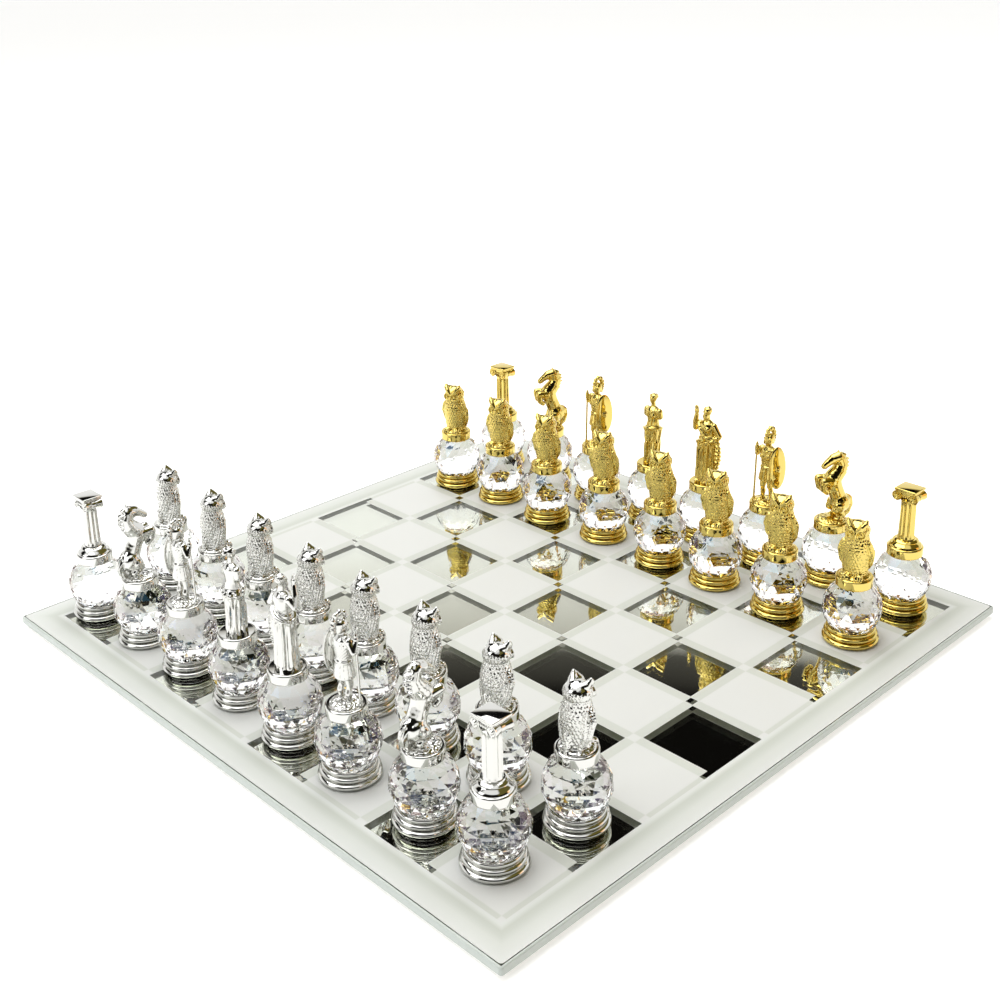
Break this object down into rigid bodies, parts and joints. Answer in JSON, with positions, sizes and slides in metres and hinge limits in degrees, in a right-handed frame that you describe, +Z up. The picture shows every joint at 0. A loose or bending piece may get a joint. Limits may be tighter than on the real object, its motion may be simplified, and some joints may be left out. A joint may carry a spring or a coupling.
{
  "type": "chess set with board",
  "caption": "Chess set: square glass board with satin and mirrored squares, gold and silver plated classical figures on faceted crystal balls, all free to lift off.",
  "frame": {"origin": "centre of the board in plan, on the plane that its feet stand on", "axes": "+Z up; files a to h run along +X; ranks 1 to 8 along +Y, with silver on the -Y side and gold on the +Y side"},
  "size_m": [0.352, 0.352, 0.0857],
  "materials": {
    "clear_glass": "polished float glass with a ground edge",
    "satin_glass": "etched satin surface",
    "mirror_silver": "silvered back with protective paint",
    "clear_rubber": "soft clear bumper",
    "crystal": "cut and polished crystal",
    "silver_plate": "bright silver plated casting",
    "gold_plate": "bright gold plated casting"
  },
  "bodies": {
    "board": {"glass_panel": "clear_glass", "frosted_pattern": "satin_glass", "mirror_backing": "mirror_silver", "board_feet": "clear_rubber"},
    "silver_pawn_a": {"silver_pawn_a": "silver_plate"},
    "silver_rook_a": {"silver_rook_a_ball": "crystal", "silver_rook_a_metal": "silver_plate"},
    "silver_pawn_b": {"silver_pawn_b": "silver_plate"},
    "silver_knight_b": {"silver_knight_b_ball": "crystal", "silver_knight_b_metal": "silver_plate"},
    "silver_pawn_c": {"silver_pawn_c": "silver_plate"},
    "silver_bishop_c": {"silver_bishop_c_ball": "crystal", "silver_bishop_c_base": "silver_plate", "silver_bishop_c_figure": "silver_plate"},
    "silver_pawn_d": {"silver_pawn_d": "silver_plate"},
    "silver_queen": {"silver_queen_ball": "crystal", "silver_queen_base": "silver_plate", "silver_queen_figure": "silver_plate"},
    "silver_pawn_e": {"silver_pawn_e": "silver_plate"},
    "silver_king": {"silver_king_ball": "crystal", "silver_king_base": "silver_plate", "silver_king_figure": "silver_plate"},
    "silver_pawn_f": {"silver_pawn_f": "silver_plate"},
    "silver_bishop_f": {"silver_bishop_f_ball": "crystal", "silver_bishop_f_base": "silver_plate", "silver_bishop_f_figure": "silver_plate"},
    "silver_pawn_g": {"silver_pawn_g": "silver_plate"},
    "silver_knight_g": {"silver_knight_g_ball": "crystal", "silver_knight_g_metal": "silver_plate"},
    "silver_pawn_h": {"silver_pawn_h": "silver_plate"},
    "silver_rook_h": {"silver_rook_h_ball": "crystal", "silver_rook_h_metal": "silver_plate"},
    "gold_pawn_a": {"gold_pawn_a": "gold_plate"},
    "gold_rook_a": {"gold_rook_a_ball": "crystal", "gold_rook_a_metal": "gold_plate"},
    "gold_pawn_b": {"gold_pawn_b": "gold_plate"},
    "gold_knight_b": {"gold_knight_b_ball": "crystal", "gold_knight_b_metal": "gold_plate"},
    "gold_pawn_c": {"gold_pawn_c": "gold_plate"},
    "gold_bishop_c": {"gold_bishop_c_ball": "crystal", "gold_bishop_c_base": "gold_plate", "gold_bishop_c_figure": "gold_plate"},
    "gold_pawn_d": {"gold_pawn_d": "gold_plate"},
    "gold_queen": {"gold_queen_ball": "crystal", "gold_queen_base": "gold_plate", "gold_queen_figure": "gold_plate"},
    "gold_pawn_e": {"gold_pawn_e": "gold_plate"},
    "gold_king": {"gold_king_ball": "crystal", "gold_king_base": "gold_plate", "gold_king_figure": "gold_plate"},
    "gold_pawn_f": {"gold_pawn_f": "gold_plate"},
    "gold_bishop_f": {"gold_bishop_f_ball": "crystal", "gold_bishop_f_base": "gold_plate", "gold_bishop_f_figure": "gold_plate"},
    "gold_pawn_g": {"gold_pawn_g": "gold_plate"},
    "gold_knight_g": {"gold_knight_g_ball": "crystal", "gold_knight_g_metal": "gold_plate"},
    "gold_pawn_h": {"gold_pawn_h": "gold_plate"},
    "gold_rook_h": {"gold_rook_h_ball": "crystal", "gold_rook_h_metal": "gold_plate"}
  },
  "joints": [
    {"name": "silver_pawn_a_lift", "type": "slide", "parent": "board", "child": "silver_pawn_a", "axis": [0, 0, 1], "range_m": [0, 0.1]},
    {"name": "silver_rook_a_lift", "type": "slide", "parent": "board", "child": "silver_rook_a", "axis": [0, 0, 1], "range_m": [0, 0.1]},
    {"name": "silver_pawn_b_lift", "type": "slide", "parent": "board", "child": "silver_pawn_b", "axis": [0, 0, 1], "range_m": [0, 0.1]},
    {"name": "silver_knight_b_lift", "type": "slide", "parent": "board", "child": "silver_knight_b", "axis": [0, 0, 1], "range_m": [0, 0.1]},
    {"name": "silver_pawn_c_lift", "type": "slide", "parent": "board", "child": "silver_pawn_c", "axis": [0, 0, 1], "range_m": [0, 0.1]},
    {"name": "silver_bishop_c_lift", "type": "slide", "parent": "board", "child": "silver_bishop_c", "axis": [0, 0, 1], "range_m": [0, 0.1]},
    {"name": "silver_pawn_d_lift", "type": "slide", "parent": "board", "child": "silver_pawn_d", "axis": [0, 0, 1], "range_m": [0, 0.1]},
    {"name": "silver_queen_lift", "type": "slide", "parent": "board", "child": "silver_queen", "axis": [0, 0, 1], "range_m": [0, 0.1]},
    {"name": "silver_pawn_e_lift", "type": "slide", "parent": "board", "child": "silver_pawn_e", "axis": [0, 0, 1], "range_m": [0, 0.1]},
    {"name": "silver_king_lift", "type": "slide", "parent": "board", "child": "silver_king", "axis": [0, 0, 1], "range_m": [0, 0.1]},
    {"name": "silver_pawn_f_lift", "type": "slide", "parent": "board", "child": "silver_pawn_f", "axis": [0, 0, 1], "range_m": [0, 0.1]},
    {"name": "silver_bishop_f_lift", "type": "slide", "parent": "board", "child": "silver_bishop_f", "axis": [0, 0, 1], "range_m": [0, 0.1]},
    {"name": "silver_pawn_g_lift", "type": "slide", "parent": "board", "child": "silver_pawn_g", "axis": [0, 0, 1], "range_m": [0, 0.1]},
    {"name": "silver_knight_g_lift", "type": "slide", "parent": "board", "child": "silver_knight_g", "axis": [0, 0, 1], "range_m": [0, 0.1]},
    {"name": "silver_pawn_h_lift", "type": "slide", "parent": "board", "child": "silver_pawn_h", "axis": [0, 0, 1], "range_m": [0, 0.1]},
    {"name": "silver_rook_h_lift", "type": "slide", "parent": "board", "child": "silver_rook_h", "axis": [0, 0, 1], "range_m": [0, 0.1]},
    {"name": "gold_pawn_a_lift", "type": "slide", "parent": "board", "child": "gold_pawn_a", "axis": [0, 0, 1], "range_m": [0, 0.1]},
    {"name": "gold_rook_a_lift", "type": "slide", "parent": "board", "child": "gold_rook_a", "axis": [0, 0, 1], "range_m": [0, 0.1]},
    {"name": "gold_pawn_b_lift", "type": "slide", "parent": "board", "child": "gold_pawn_b", "axis": [0, 0, 1], "range_m": [0, 0.1]},
    {"name": "gold_knight_b_lift", "type": "slide", "parent": "board", "child": "gold_knight_b", "axis": [0, 0, 1], "range_m": [0, 0.1]},
    {"name": "gold_pawn_c_lift", "type": "slide", "parent": "board", "child": "gold_pawn_c", "axis": [0, 0, 1], "range_m": [0, 0.1]},
    {"name": "gold_bishop_c_lift", "type": "slide", "parent": "board", "child": "gold_bishop_c", "axis": [0, 0, 1], "range_m": [0, 0.1]},
    {"name": "gold_pawn_d_lift", "type": "slide", "parent": "board", "child": "gold_pawn_d", "axis": [0, 0, 1], "range_m": [0, 0.1]},
    {"name": "gold_queen_lift", "type": "slide", "parent": "board", "child": "gold_queen", "axis": [0, 0, 1], "range_m": [0, 0.1]},
    {"name": "gold_pawn_e_lift", "type": "slide", "parent": "board", "child": "gold_pawn_e", "axis": [0, 0, 1], "range_m": [0, 0.1]},
    {"name": "gold_king_lift", "type": "slide", "parent": "board", "child": "gold_king", "axis": [0, 0, 1], "range_m": [0, 0.1]},
    {"name": "gold_pawn_f_lift", "type": "slide", "parent": "board", "child": "gold_pawn_f", "axis": [0, 0, 1], "range_m": [0, 0.1]},
    {"name": "gold_bishop_f_lift", "type": "slide", "parent": "board", "child": "gold_bishop_f", "axis": [0, 0, 1], "range_m": [0, 0.1]},
    {"name": "gold_pawn_g_lift", "type": "slide", "parent": "board", "child": "gold_pawn_g", "axis": [0, 0, 1], "range_m": [0, 0.1]},
    {"name": "gold_knight_g_lift", "type": "slide", "parent": "board", "child": "gold_knight_g", "axis": [0, 0, 1], "range_m": [0, 0.1]},
    {"name": "gold_pawn_h_lift", "type": "slide", "parent": "board", "child": "gold_pawn_h", "axis": [0, 0, 1], "range_m": [0, 0.1]},
    {"name": "gold_rook_h_lift", "type": "slide", "parent": "board", "child": "gold_rook_h", "axis": [0, 0, 1], "range_m": [0, 0.1]}
  ]
}
